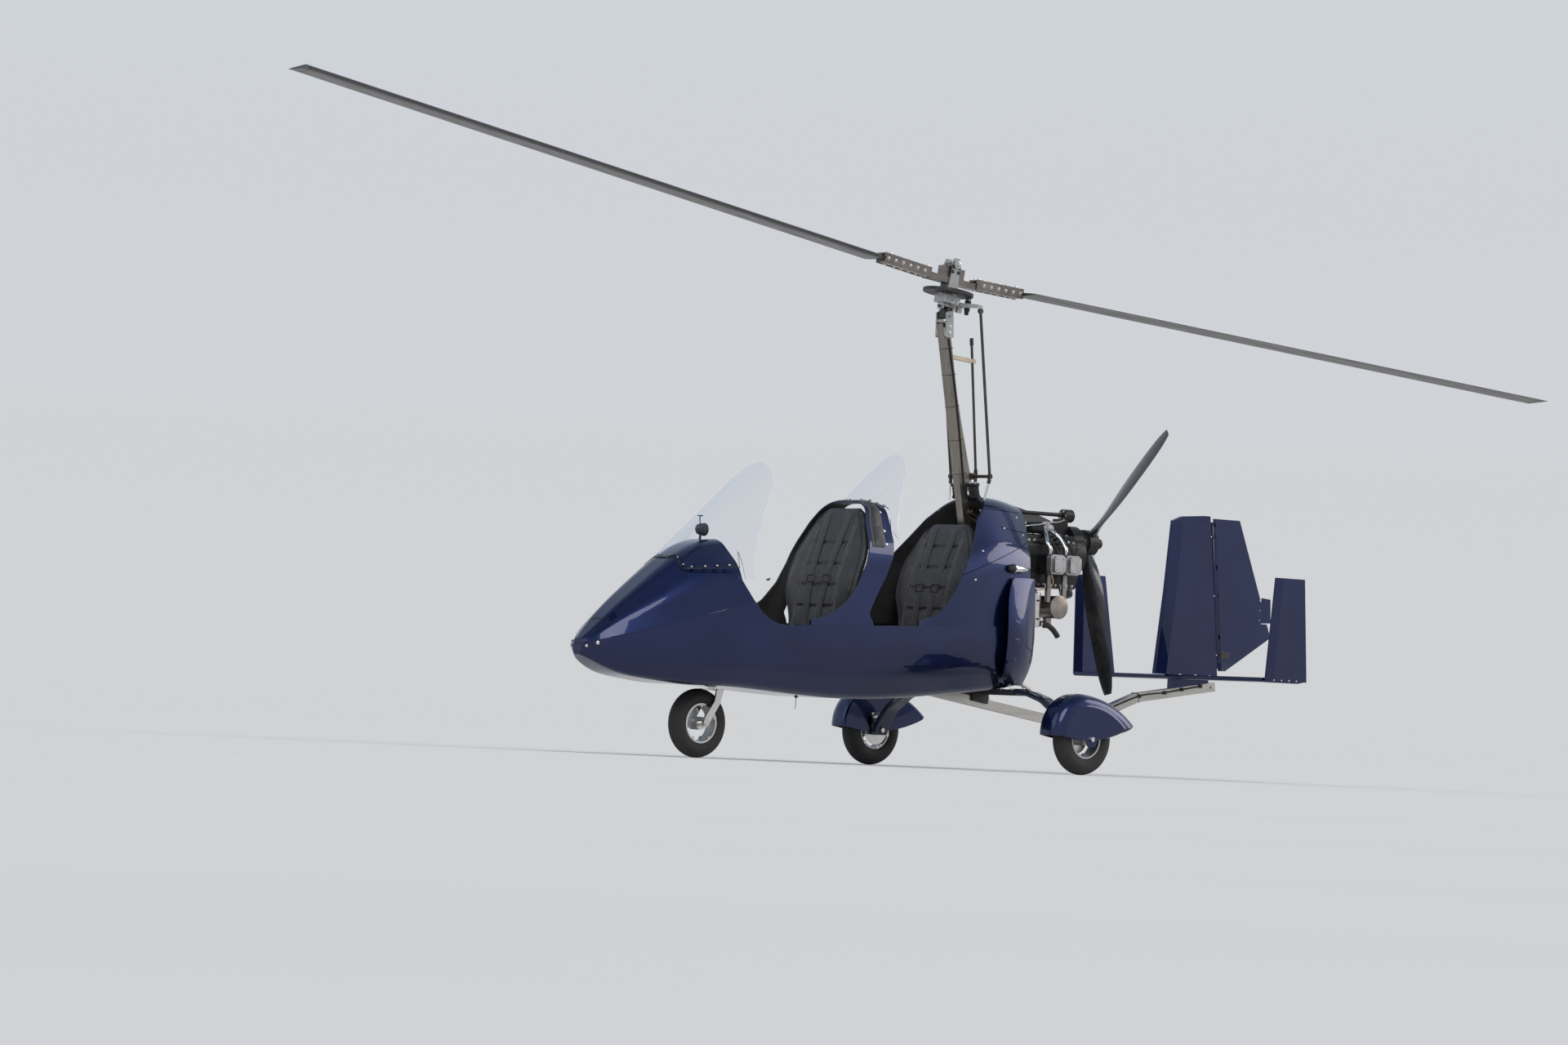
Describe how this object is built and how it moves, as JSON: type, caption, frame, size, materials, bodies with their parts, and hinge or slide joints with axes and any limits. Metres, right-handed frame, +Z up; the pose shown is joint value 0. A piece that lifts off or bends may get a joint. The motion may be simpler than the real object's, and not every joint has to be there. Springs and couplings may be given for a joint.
{
  "type": "gyrocopter",
  "caption": "Open tandem two-seat gyrocopter: hollow blue cockpit body, mast with teetering two-blade rotor, rear pusher propeller, three-fin tail and tricycle gear.",
  "frame": {"origin": "on the ground, midway along and across the aircraft's extents, just behind the point below the rotor hub", "axes": "+X to the nose, +Y to port, +Z up"},
  "size_m": [8.2779, 1.88, 3.4305],
  "materials": {
    "tail_paint": "deep metallic navy blue composite",
    "screen": "clear acrylic",
    "seat_fabric": "black padded",
    "black_plastic": "matt black",
    "stainless": "brushed stainless",
    "engine_metal": "cast and black",
    "bright_metal": "machined",
    "blade_metal": "anodised dark grey brown",
    "tyre": "black rubber",
    "prop_black": "black composite",
    "grey_composite": "sprung glass fibre, dark blue black"
  },
  "bodies": {
    "airframe": {"fuselage_tub": "tail_paint", "front_hood": "tail_paint", "mid_fairing": "tail_paint", "left_engine_cowl": "tail_paint", "right_engine_cowl": "tail_paint", "left_air_scoop": "tail_paint", "right_air_scoop": "tail_paint", "front_windscreen": "screen", "rear_windscreen": "screen", "front_seat": "seat_fabric", "rear_seat": "seat_fabric", "seat_frame": "black_plastic", "instrument_panel": "black_plastic", "pedals": "stainless", "front_stick": "black_plastic", "rear_stick": "black_plastic", "keel_tube": "stainless", "tail_boom": "stainless", "boom_strut": "stainless", "mast": "stainless", "engine_block": "engine_metal", "engine_mount": "stainless", "drive_pulley": "engine_metal", "exhaust": "stainless", "oil_tank": "engine_metal", "gear_clamp": "engine_metal", "left_gear_leg": "grey_composite", "right_gear_leg": "grey_composite", "left_axle": "stainless", "right_axle": "stainless", "left_fender": "tail_paint", "right_fender": "tail_paint", "stabilizer": "tail_paint", "left_tip_fin": "tail_paint", "right_tip_fin": "tail_paint", "fin": "tail_paint", "head_fork": "engine_metal", "control_rods": "bright_metal"},
    "steering_fork": {"nose_fork": "stainless"},
    "nose_wheel": {"nose_rim": "bright_metal", "nose_tyre": "tyre"},
    "left_wheel": {"left_rim": "bright_metal", "left_tyre": "tyre"},
    "right_wheel": {"right_rim": "bright_metal", "right_tyre": "tyre"},
    "propeller": {"propeller_hub": "bright_metal", "propeller_blade_1": "prop_black", "propeller_blade_2": "prop_black", "propeller_blade_3": "prop_black"},
    "rudder": {"rudder": "tail_paint", "trim_tab": "bright_metal"},
    "head_gimbal": {"head_gimbal": "engine_metal"},
    "rotor_head": {"bearing_block": "bright_metal"},
    "rotor_mast": {"hub_tower": "bright_metal", "ring_gear": "engine_metal"},
    "rotor": {"hub_bar": "bright_metal", "front_blade": "blade_metal", "rear_blade": "blade_metal"}
  },
  "joints": [
    {"name": "nose_steering", "type": "hinge", "parent": "airframe", "child": "steering_fork", "pos_m": [1.59, 0, 0.4], "axis": [0, 0, 1], "range_deg": [-25, 25]},
    {"name": "nose_wheel_spin", "type": "hinge", "parent": "steering_fork", "child": "nose_wheel", "pos_m": [1.677, 0, 0.182], "axis": [0, 1, 0], "continuous": true},
    {"name": "left_wheel_spin", "type": "hinge", "parent": "airframe", "child": "left_wheel", "pos_m": [-0.3, 0.848, 0.1925], "axis": [0, 1, 0], "continuous": true},
    {"name": "right_wheel_spin", "type": "hinge", "parent": "airframe", "child": "right_wheel", "pos_m": [-0.3, -0.848, 0.1925], "axis": [0, 1, 0], "continuous": true},
    {"name": "propeller_spin", "type": "hinge", "parent": "airframe", "child": "propeller", "pos_m": [-1.073, 0, 1.274], "axis": [1, 0, 0], "continuous": true},
    {"name": "rudder_hinge", "type": "hinge", "parent": "airframe", "child": "rudder", "pos_m": [-2.126, 0, 0.592], "axis": [0.1113, 0, 0.9938], "range_deg": [-30, 30]},
    {"name": "head_pitch", "type": "hinge", "parent": "airframe", "child": "head_gimbal", "pos_m": [0.05478, 0, 2.44591], "axis": [0, 1, 0], "range_deg": [-9, 9]},
    {"name": "head_roll", "type": "hinge", "parent": "head_gimbal", "child": "rotor_head", "pos_m": [0.04838, 0, 2.49146], "axis": [0.9903, 0, 0.1392], "range_deg": [-9, 9]},
    {"name": "rotor_spin", "type": "hinge", "parent": "rotor_head", "child": "rotor_mast", "pos_m": [0.04142, 0, 2.54097], "axis": [-0.1392, 0, 0.9903], "continuous": true},
    {"name": "rotor_teeter", "type": "hinge", "parent": "rotor_mast", "child": "rotor", "pos_m": [0.01581, 0, 2.72318], "axis": [0.1001, 0.9949, 0.0141], "range_deg": [-8, 8]}
  ]
}
